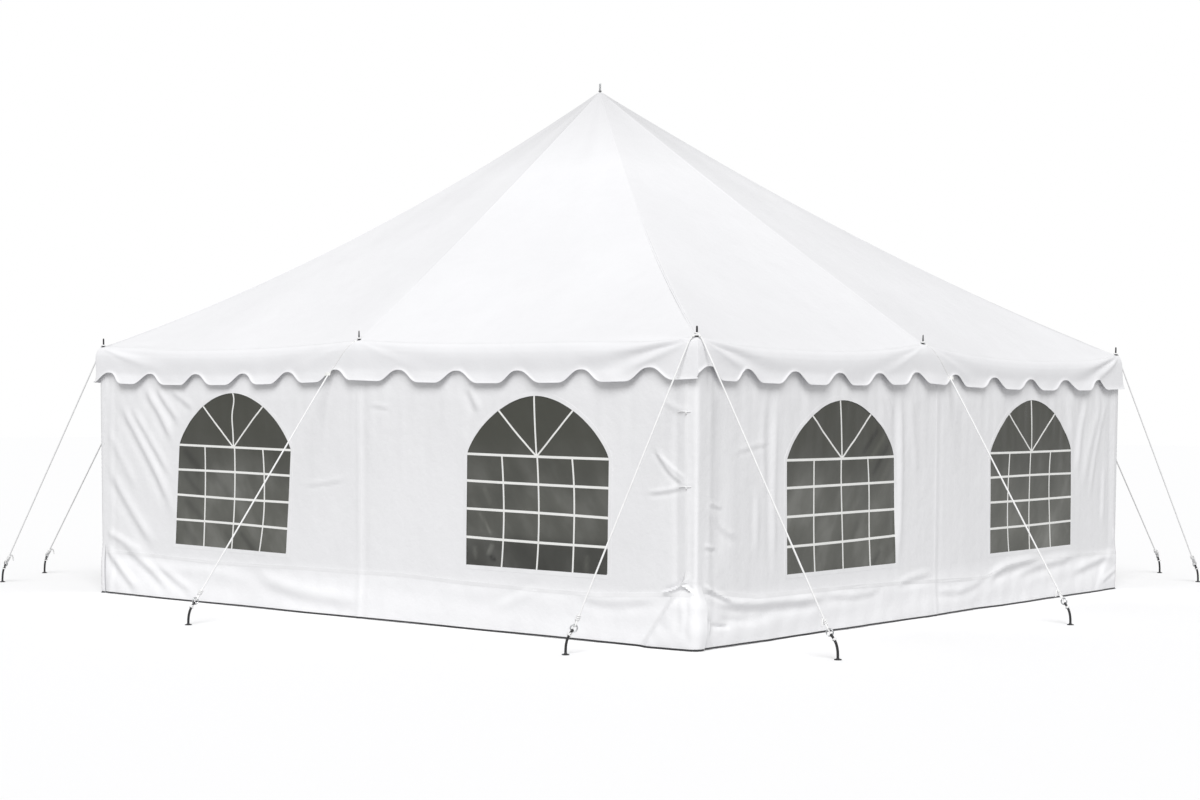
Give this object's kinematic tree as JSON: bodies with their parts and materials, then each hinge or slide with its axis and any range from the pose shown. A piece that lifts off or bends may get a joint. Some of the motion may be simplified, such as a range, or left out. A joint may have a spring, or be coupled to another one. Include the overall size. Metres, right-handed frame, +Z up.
{
  "type": "marquee tent",
  "caption": "Square pole tent with a peaked fabric roof, scalloped valance, closed side walls with arched windows, and guy ropes tied to ground stakes.",
  "frame": {"origin": "centre of the centre pole's foot on the ground, which is the middle of the square plan", "axes": "+Z up; -Y out of the front wall; +X out of the right wall"},
  "size_m": [9.2176, 9.1977, 4.305],
  "materials": {
    "canopy_vinyl": "satin",
    "wall_vinyl": "satin",
    "window_vinyl": "glossy",
    "pole_steel": "satin",
    "rope_white": "matte",
    "stake_black": "satin"
  },
  "bodies": {
    "root": {"canopy": "canopy_vinyl", "front_valance": "canopy_vinyl", "front_wall": "wall_vinyl", "front_window_1": "window_vinyl", "front_window_2": "window_vinyl", "front_middle_pole": "pole_steel", "right_valance": "canopy_vinyl", "right_wall": "wall_vinyl", "right_window_1": "window_vinyl", "right_window_2": "window_vinyl", "right_middle_pole": "pole_steel", "back_valance": "canopy_vinyl", "back_wall": "wall_vinyl", "back_window_1": "window_vinyl", "back_window_2": "window_vinyl", "back_middle_pole": "pole_steel", "left_valance": "canopy_vinyl", "left_wall": "wall_vinyl", "left_window_1": "window_vinyl", "left_window_2": "window_vinyl", "left_middle_pole": "pole_steel", "front_left_pole": "pole_steel", "front_right_pole": "pole_steel", "back_right_pole": "pole_steel", "back_left_pole": "pole_steel", "centre_pole": "pole_steel", "guy_rope_front_left_1": "rope_white", "stake_front_left_1": "stake_black", "guy_rope_front_left_2": "rope_white", "stake_front_left_2": "stake_black", "guy_rope_front_middle": "rope_white", "stake_front_middle": "stake_black", "guy_rope_front_right_1": "rope_white", "stake_front_right_1": "stake_black", "guy_rope_front_right_2": "rope_white", "stake_front_right_2": "stake_black", "guy_rope_right_middle": "rope_white", "stake_right_middle": "stake_black", "guy_rope_back_right_1": "rope_white", "stake_back_right_1": "stake_black", "guy_rope_back_right_2": "rope_white", "stake_back_right_2": "stake_black", "guy_rope_back_middle": "rope_white", "stake_back_middle": "stake_black", "guy_rope_back_left_1": "rope_white", "stake_back_left_1": "stake_black", "guy_rope_back_left_2": "rope_white", "stake_back_left_2": "stake_black", "guy_rope_left_middle": "rope_white", "stake_left_middle": "stake_black"}
  },
  "joints": []
}
